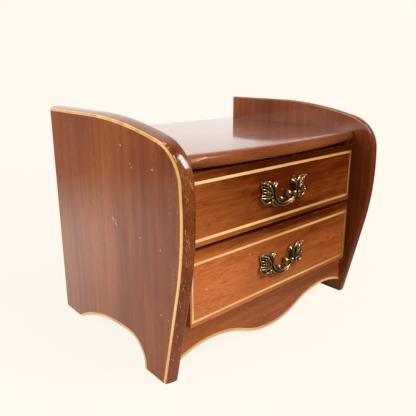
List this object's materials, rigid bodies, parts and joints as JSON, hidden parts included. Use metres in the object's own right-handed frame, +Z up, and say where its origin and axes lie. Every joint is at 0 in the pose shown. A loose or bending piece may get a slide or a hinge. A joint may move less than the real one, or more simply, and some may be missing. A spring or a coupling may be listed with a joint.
{
  "type": "musical jewelry box",
  "caption": "Table-top wooden jewellery box with curved side panels, two velvet-lined drawers with cast pulls, inlaid lines, and a wind-up cylinder musical movement behind the lower drawer.",
  "frame": {"origin": "on the resting surface, below the middle of the whole box", "axes": "+Z up, +X to the right of a person who faces the drawers, drawers face -Y"},
  "size_m": [0.24, 0.1882, 0.1959],
  "materials": {
    "mahogany": "red-brown mahogany under clear gloss lacquer",
    "front_mahogany": "orange-brown figured mahogany under clear gloss lacquer",
    "stringing": "pale boxwood line under lacquer",
    "carcass_wood": "satin stained wood",
    "drawer_wood": "plain unstained wood",
    "antique_brass": "antiqued cast brass with dark recesses",
    "movement_brass": "satin",
    "steel": "satin",
    "velvet": "dark red velvet"
  },
  "bodies": {
    "case": {"left_side_panel": "mahogany", "right_side_panel": "mahogany", "left_edge_stringing": "stringing", "right_edge_stringing": "stringing", "left_arch_stringing": "stringing", "right_arch_stringing": "stringing", "top_board": "mahogany", "back_board": "carcass_wood", "left_inner_side": "carcass_wood", "right_inner_side": "carcass_wood", "drawer_divider": "carcass_wood", "back_screws": "steel", "glue_blocks": "drawer_wood", "apron": "mahogany", "apron_stringing": "stringing", "drawer_stops": "drawer_wood", "floor_board": "carcass_wood", "movement_bedplate": "movement_brass", "movement_screws": "steel", "movement_partition": "drawer_wood", "plunger_guide": "movement_brass", "left_bearing": "movement_brass", "right_bearing": "movement_brass", "comb": "steel", "comb_base": "movement_brass", "comb_screws": "steel", "governor_frame": "movement_brass"},
    "barrel": {"spring_barrel": "movement_brass", "crown_wheel": "movement_brass", "mainspring": "steel"},
    "winding": {"winding_arbor": "steel", "winding_key": "steel"},
    "cylinder": {"cylinder_arbor": "steel", "tune_cylinder": "movement_brass", "tune_pins": "steel", "cylinder_wheel": "movement_brass"},
    "governor": {"governor_pinion": "steel", "worm_wheel": "movement_brass"},
    "worm": {"governor_worm": "steel", "governor_fan": "movement_brass"},
    "plunger": {"stop_plunger": "steel"},
    "upper_drawer": {"upper_drawer_front": "front_mahogany", "upper_drawer_stringing": "stringing", "upper_drawer_left_side": "drawer_wood", "upper_drawer_right_side": "drawer_wood", "upper_drawer_back": "drawer_wood", "upper_drawer_bottom": "drawer_wood", "upper_lining": "velvet", "ring_rolls": "velvet", "upper_pull": "antique_brass", "upper_pull_screws": "steel"},
    "lower_drawer": {"lower_drawer_front": "front_mahogany", "lower_drawer_stringing": "stringing", "lower_drawer_left_side": "drawer_wood", "lower_drawer_right_side": "drawer_wood", "lower_drawer_back": "drawer_wood", "lower_drawer_bottom": "drawer_wood", "lower_lining": "velvet", "lower_pull": "antique_brass", "lower_pull_screws": "steel"}
  },
  "joints": [
    {"name": "upper_drawer_slide", "type": "slide", "parent": "case", "child": "upper_drawer", "axis": [0, -1, 0], "range_m": [0, 0.115]},
    {"name": "lower_drawer_slide", "type": "slide", "parent": "case", "child": "lower_drawer", "axis": [0, -1, 0], "range_m": [0, 0.07]},
    {"name": "stop_plunger_slide", "type": "slide", "parent": "case", "child": "plunger", "axis": [0, -1, 0], "range_m": [0, 0.006]},
    {"name": "barrel_spin", "type": "hinge", "parent": "case", "child": "barrel", "pos_m": [-0.015, 0.06006, 0.05], "axis": [0, 0, 1], "continuous": true},
    {"name": "winding_spin", "type": "hinge", "parent": "case", "child": "winding", "pos_m": [-0.015, 0.06006, 0.024], "axis": [0, 0, 1], "continuous": true},
    {"name": "cylinder_spin", "type": "hinge", "parent": "case", "child": "cylinder", "pos_m": [0.01, 0.06006, 0.05975], "axis": [1, 0, 0], "continuous": true},
    {"name": "governor_spin", "type": "hinge", "parent": "case", "child": "governor", "pos_m": [0.025, 0.07006, 0.05312], "axis": [1, 0, 0], "continuous": true},
    {"name": "worm_spin", "type": "hinge", "parent": "case", "child": "worm", "pos_m": [0.02625, 0.07686, 0.05312], "axis": [0, 0, 1], "continuous": true}
  ],
  "couplings": [
    {"joint": "stop_plunger_slide", "follows": "lower_drawer_slide", "ratio": 0.085714},
    {"joint": "cylinder_spin", "follows": "barrel_spin", "ratio": 2.1667},
    {"joint": "governor_spin", "follows": "barrel_spin", "ratio": -6.5},
    {"joint": "worm_spin", "follows": "barrel_spin", "ratio": 130}
  ]
}
